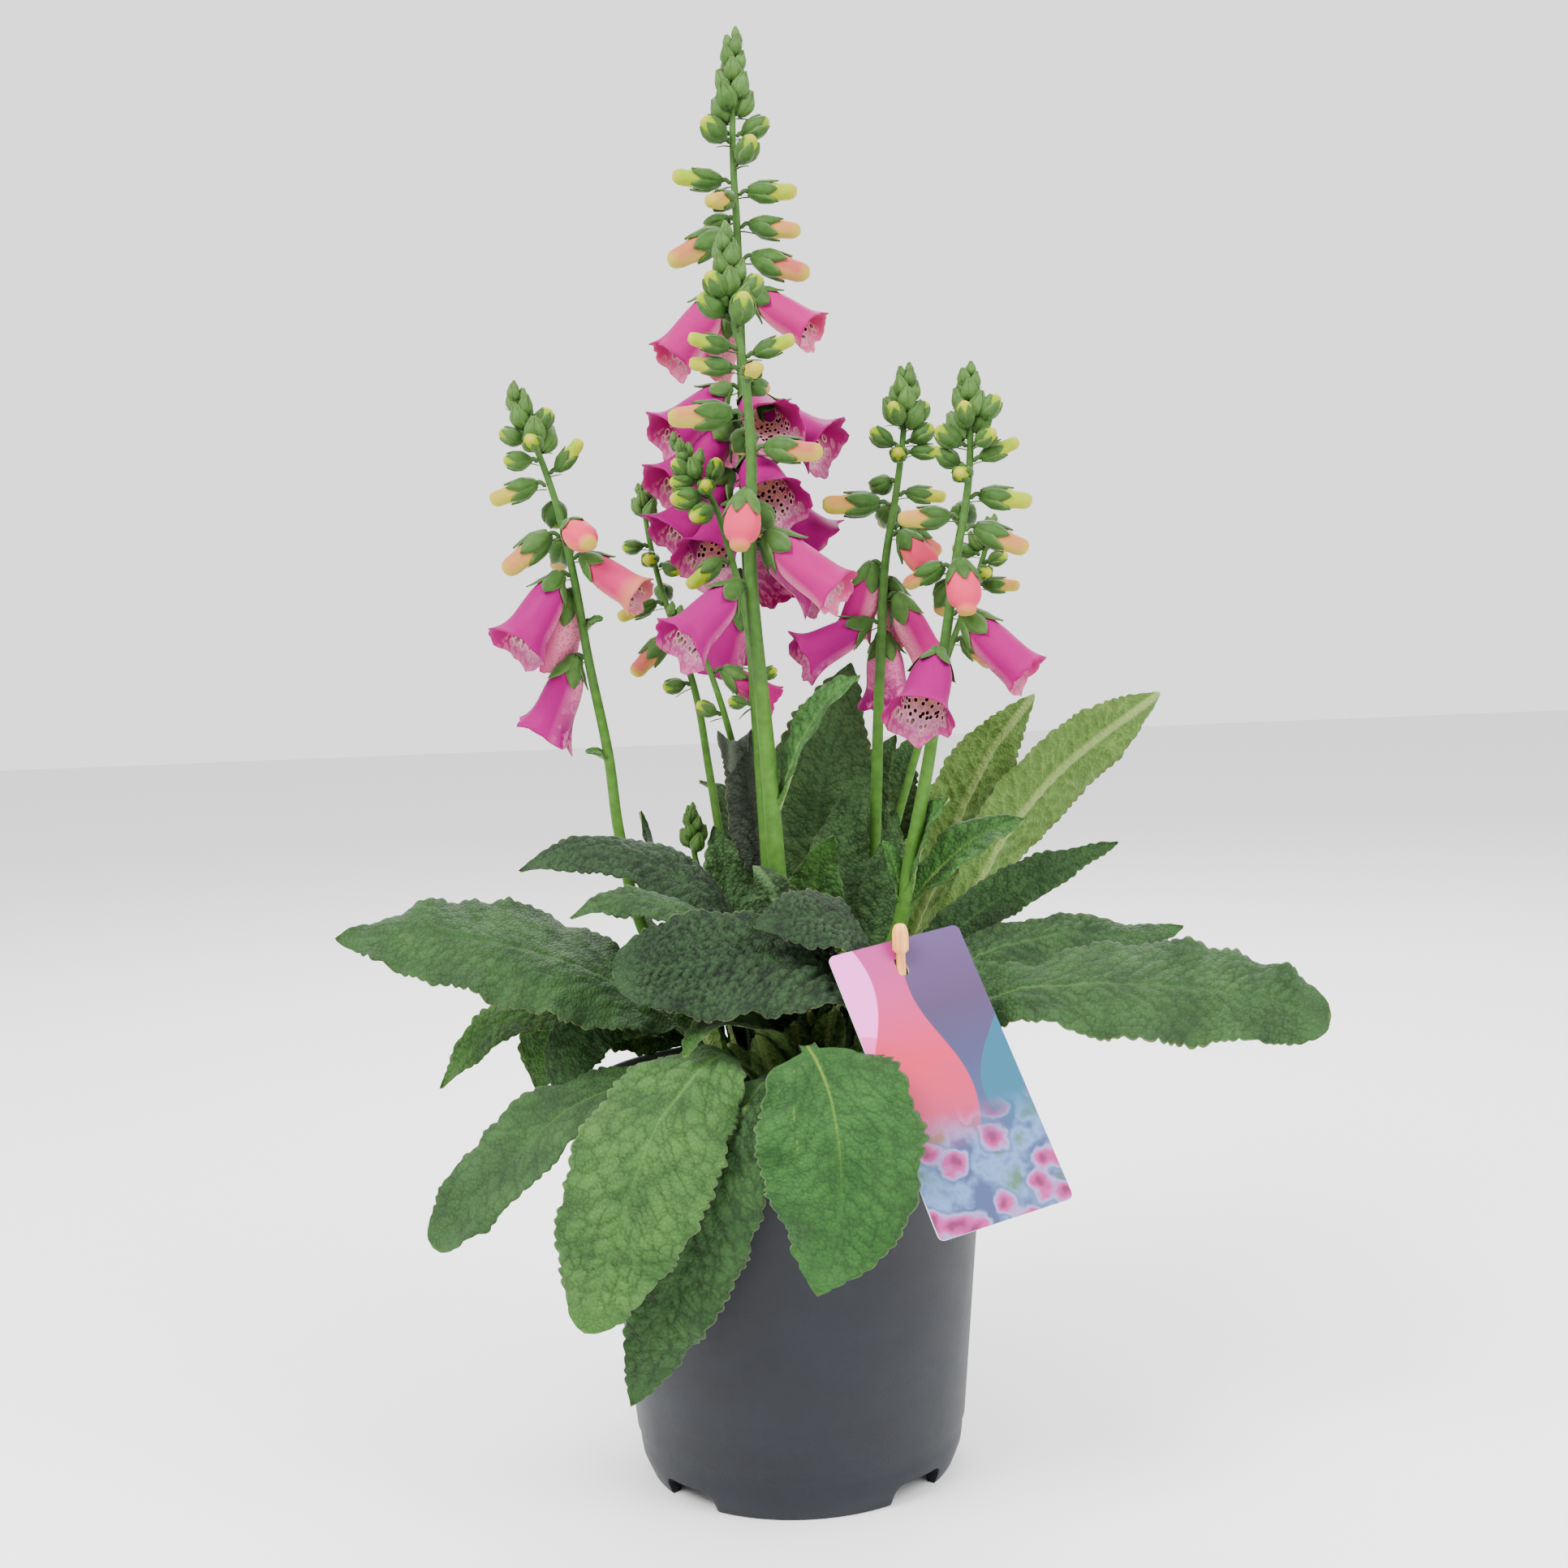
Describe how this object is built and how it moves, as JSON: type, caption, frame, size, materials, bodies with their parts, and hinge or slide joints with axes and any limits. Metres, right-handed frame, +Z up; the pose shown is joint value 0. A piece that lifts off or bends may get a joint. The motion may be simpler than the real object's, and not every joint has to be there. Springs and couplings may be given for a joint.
{
  "type": "potted foxglove plant",
  "caption": "Foxglove plant in a plain round nursery pot, with upright flower spikes of spotted magenta bells, wrinkled leaves and a plant label on a peg.",
  "frame": {"origin": "centre of the pot's underside, on the surface that it stands on", "axes": "+Z up along the pot's axis, -Y towards the front of the picture, +X to its right"},
  "size_m": [0.3971, 0.2697, 0.6132],
  "materials": {
    "pot": "satin moulded",
    "soil": "loose fibrous peat",
    "leaves": "soft, finely wrinkled",
    "spikes": "soft petals",
    "label": "glossy coated card",
    "peg": "bare, sanded"
  },
  "bodies": {
    "root": {"pot": "pot", "soil": "soil", "leaf_left_1": "leaves", "leaf_left_2": "leaves", "leaf_left_3": "leaves", "leaf_left_4": "leaves", "leaf_left_5": "leaves", "leaf_left_6": "leaves", "leaf_left_7": "leaves", "leaf_left_8": "leaves", "leaf_front_1": "leaves", "leaf_front_2": "leaves", "leaf_front_3": "leaves", "leaf_front_4": "leaves", "leaf_front_5": "leaves", "leaf_front_6": "leaves", "leaf_front_7": "leaves", "leaf_right_1": "leaves", "leaf_right_2": "leaves", "leaf_right_3": "leaves", "leaf_right_4": "leaves", "leaf_right_5": "leaves", "leaf_crown_1": "leaves", "leaf_crown_2": "leaves", "leaf_crown_3": "leaves", "leaf_crown_4": "leaves", "leaf_crown_5": "leaves", "leaf_crown_6": "leaves", "leaf_crown_7": "leaves", "leaf_crown_8": "leaves", "leaf_crown_9": "leaves", "leaf_crown_10": "leaves", "leaf_crown_11": "leaves", "leaf_back_low_1": "leaves", "leaf_back_low_2": "leaves", "leaf_back_low_3": "leaves", "leaf_back_high_1": "leaves", "spike_tall": "spikes", "spike_front": "spikes", "spike_left": "spikes", "spike_right_inner": "spikes", "spike_right_outer": "spikes", "spike_small_front": "spikes", "spike_small_left": "spikes", "spike_small_middle": "spikes", "spike_small_right": "spikes", "shoot": "spikes", "label": "label", "peg": "peg"}
  },
  "joints": []
}
